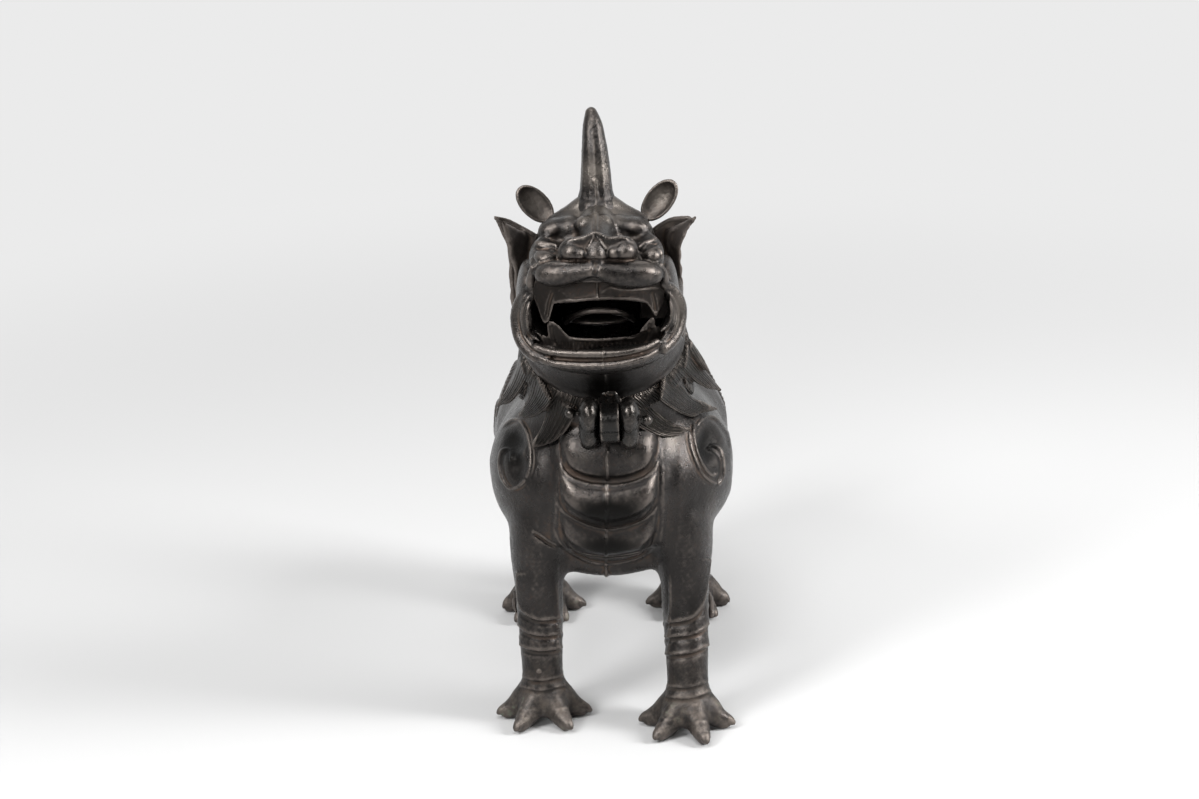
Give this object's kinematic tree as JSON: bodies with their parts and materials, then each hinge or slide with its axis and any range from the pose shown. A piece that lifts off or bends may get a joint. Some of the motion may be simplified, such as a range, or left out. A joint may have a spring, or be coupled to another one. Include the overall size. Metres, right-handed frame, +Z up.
{
  "type": "incense burner",
  "caption": "Hollow bronze incense burner shaped as a standing horned beast; the hinged head tips forward as its lid, and smoke leaves the open mouth.",
  "frame": {"origin": "on the floor, under the middle of the whole object", "axes": "+Z up, the beast looks along -Y, and its own left side is +X"},
  "size_m": [0.1205, 0.2242, 0.3],
  "materials": {
    "body_bronze": "dark brown patinated bronze, satin",
    "leg_bronze": "dark brown patinated bronze, satin",
    "head_bronze": "dark brown patinated bronze, satin",
    "mane_bronze": "dark brown patinated bronze, satin",
    "hinge_bronze": "dark brown patinated bronze, satin",
    "pan_bronze": "dark brown patinated bronze, satin"
  },
  "bodies": {
    "vessel": {"body_shell": "body_bronze", "mane_collar": "mane_bronze", "tail": "mane_bronze", "ash_pan": "pan_bronze", "hinge_pin": "hinge_bronze", "hinge_pin_ball": "hinge_bronze", "front_left_leg": "leg_bronze", "front_right_leg": "leg_bronze", "rear_left_leg": "leg_bronze", "rear_right_leg": "leg_bronze", "hinge_lug_left": "hinge_bronze", "hinge_lug_right": "hinge_bronze"},
    "head": {"head_shell": "head_bronze", "mane_hood": "mane_bronze", "horn": "head_bronze", "ear_left": "head_bronze", "ear_right": "head_bronze", "upper_tooth_plate": "head_bronze", "lower_tooth_plate": "head_bronze", "tongue": "head_bronze", "hinge_leaf": "hinge_bronze"}
  },
  "joints": [
    {"name": "head_hinge", "type": "hinge", "parent": "vessel", "child": "head", "pos_m": [0, -0.0843, 0.165], "axis": [1, 0, 0], "range_deg": [0, 105]}
  ]
}
